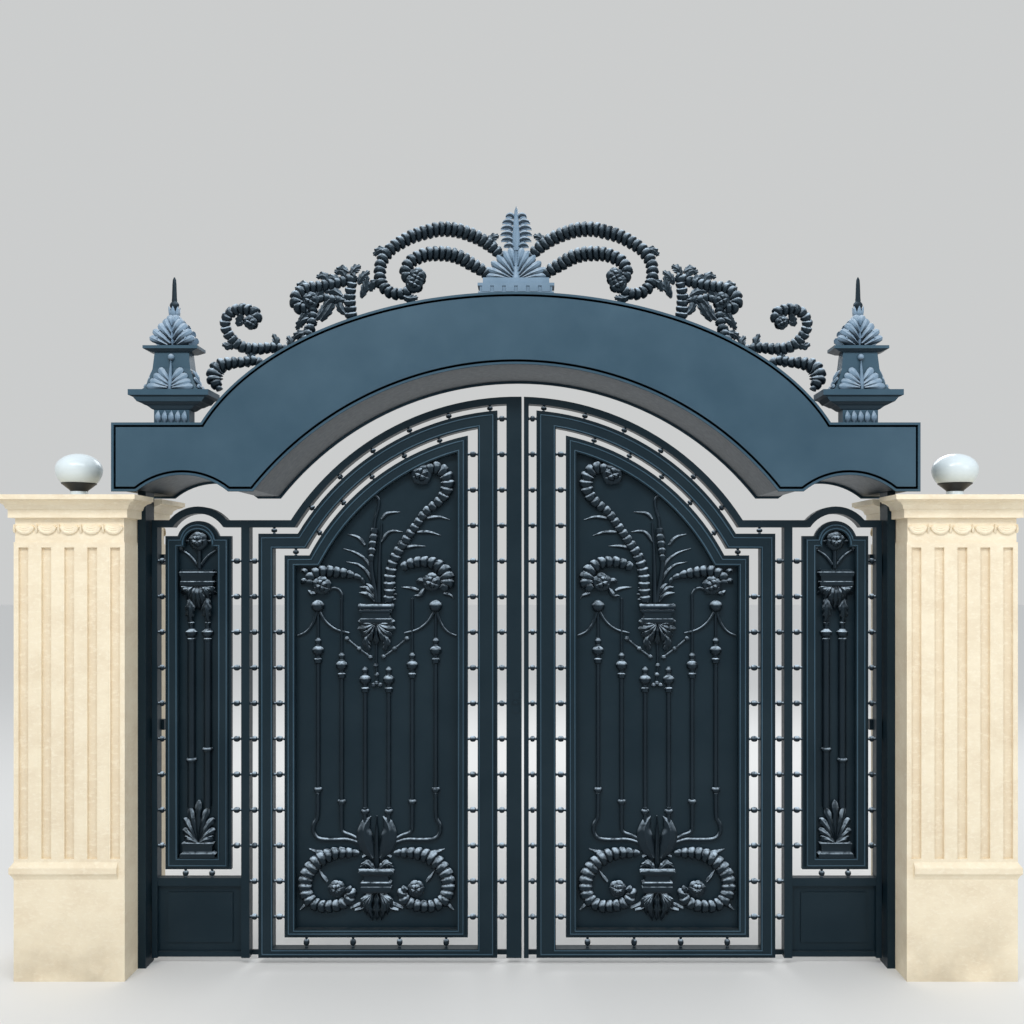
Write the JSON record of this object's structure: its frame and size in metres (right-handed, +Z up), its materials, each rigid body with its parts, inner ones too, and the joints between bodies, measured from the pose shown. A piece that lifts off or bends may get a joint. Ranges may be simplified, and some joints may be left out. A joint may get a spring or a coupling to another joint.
{
  "type": "wrought iron driveway gate",
  "caption": "Pair of arched wrought iron driveway gate leaves between masonry pillars, under an arched header with scroll crest; both leaves swing inward.",
  "frame": {"origin": "on the ground midway between the pillars, in the middle of their depth", "axes": "+X along the gate to the right seen from the street, +Y inward from the street, +Z up"},
  "size_m": [4.202, 0.582, 3.172],
  "materials": {
    "travertine": "honed",
    "gate_paint": "satin",
    "cast_ornament": "gloss paint",
    "lamp_foot": "satin",
    "opal_globe": "opal"
  },
  "bodies": {
    "gateway": {"crest_palmette": "cast_ornament", "header_back_plate": "gate_paint", "header_body": "gate_paint", "header_front_plate": "gate_paint", "left_crest_scrolls": "cast_ornament", "left_finial": "cast_ornament", "left_gate_post": "gate_paint", "left_lamp_base": "lamp_foot", "left_lamp_globe": "opal_globe", "left_pedestal": "gate_paint", "left_pillar": "travertine", "left_pillar_cap": "travertine", "right_crest_scrolls": "cast_ornament", "right_finial": "cast_ornament", "right_gate_post": "gate_paint", "right_lamp_base": "lamp_foot", "right_lamp_globe": "opal_globe", "right_pedestal": "gate_paint", "right_pillar": "travertine", "right_pillar_cap": "travertine"},
    "left_leaf": {"left_collars": "gate_paint", "left_kick_panel": "gate_paint", "left_leaf_frame": "gate_paint", "left_moulded_frame": "gate_paint", "left_panel_frame": "gate_paint", "left_panel_sheet": "gate_paint", "left_reeds": "cast_ornament", "left_side_frame": "gate_paint", "left_side_ornament": "cast_ornament", "left_side_sheet": "gate_paint", "left_upper_scrolls": "cast_ornament", "left_vase": "cast_ornament", "left_volutes": "cast_ornament"},
    "right_leaf": {"right_collars": "gate_paint", "right_kick_panel": "gate_paint", "right_leaf_frame": "gate_paint", "right_moulded_frame": "gate_paint", "right_panel_frame": "gate_paint", "right_panel_sheet": "gate_paint", "right_reeds": "cast_ornament", "right_side_frame": "gate_paint", "right_side_ornament": "cast_ornament", "right_side_sheet": "gate_paint", "right_upper_scrolls": "cast_ornament", "right_vase": "cast_ornament", "right_volutes": "cast_ornament"}
  },
  "joints": [
    {"name": "left_leaf_swing", "type": "hinge", "parent": "gateway", "child": "left_leaf", "pos_m": [-1.549, 0.03, 0], "axis": [0, 0, 1], "range_deg": [0, 90]},
    {"name": "right_leaf_swing", "type": "hinge", "parent": "gateway", "child": "right_leaf", "pos_m": [1.549, 0.03, 0], "axis": [0, 0, -1], "range_deg": [0, 90]}
  ]
}
